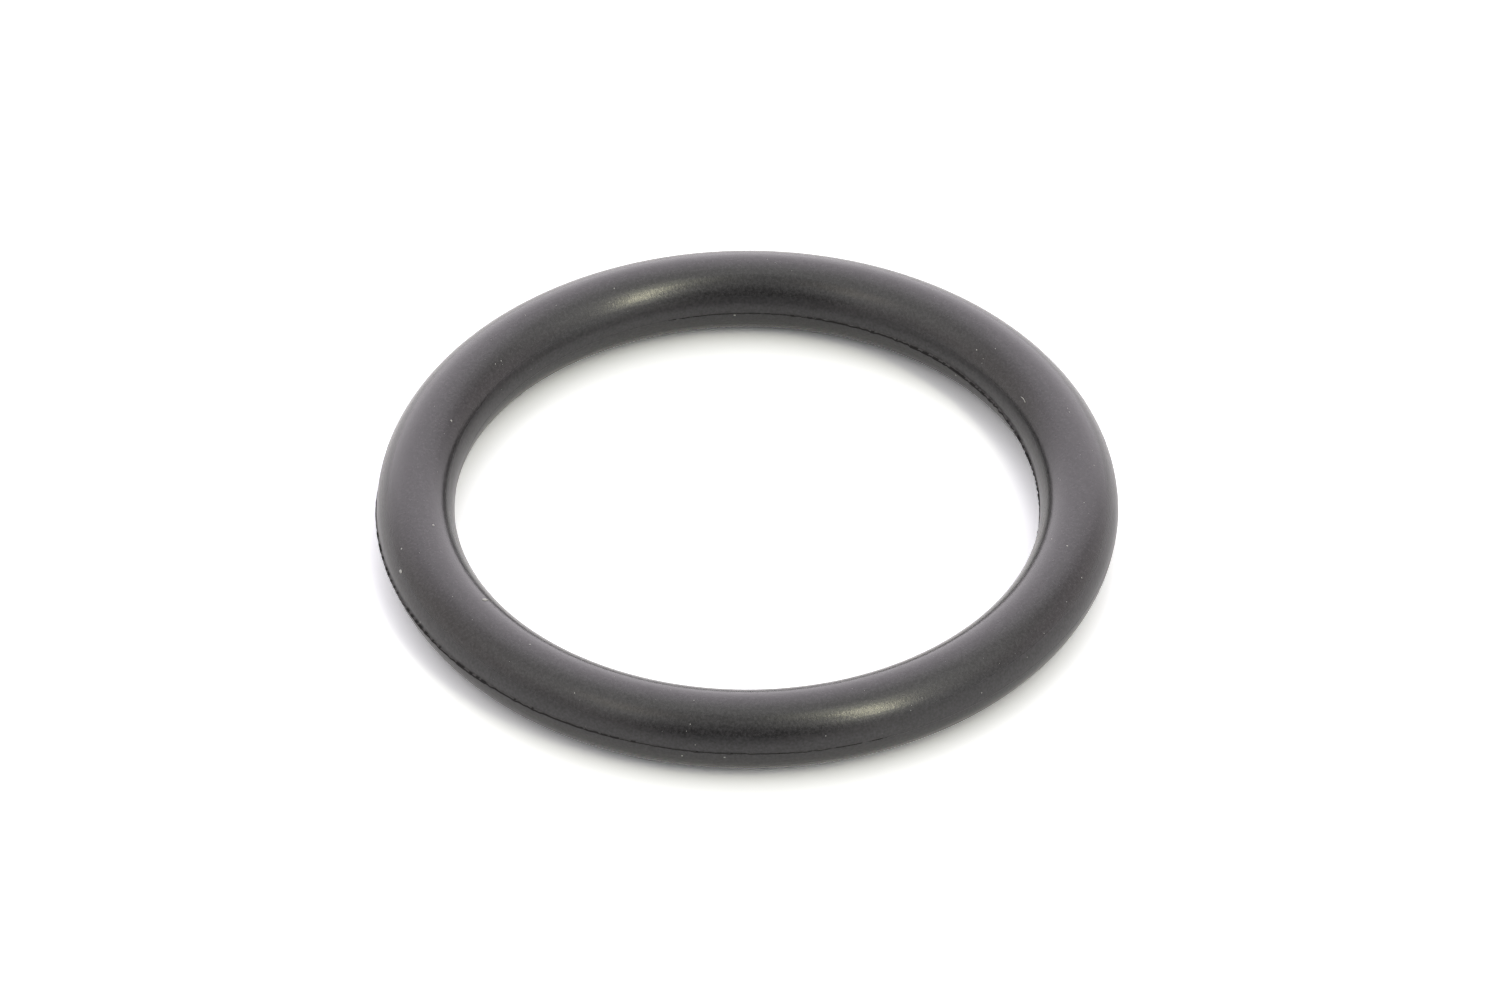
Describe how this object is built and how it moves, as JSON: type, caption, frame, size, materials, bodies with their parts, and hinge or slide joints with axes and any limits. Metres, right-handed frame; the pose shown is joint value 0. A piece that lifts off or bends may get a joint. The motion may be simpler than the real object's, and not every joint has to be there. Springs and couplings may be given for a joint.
{
  "type": "rubber o-ring",
  "caption": "Moulded rubber O-ring: an endless seal ring of round section with a fine trimmed mould ridge around its outside and its hole.",
  "frame": {"origin": "centre of the ring, on its mid-plane, which is the plane where the mould's halves met", "axes": "+Z along the ring's axis, square to the plane it lies in; the ring is round, so X and Y are free"},
  "size_m": [0.0338, 0.0338, 0.0036],
  "materials": {
    "rubber": "moulded charcoal black rubber, satin"
  },
  "bodies": {
    "root": {"o_ring": "rubber"}
  },
  "joints": []
}
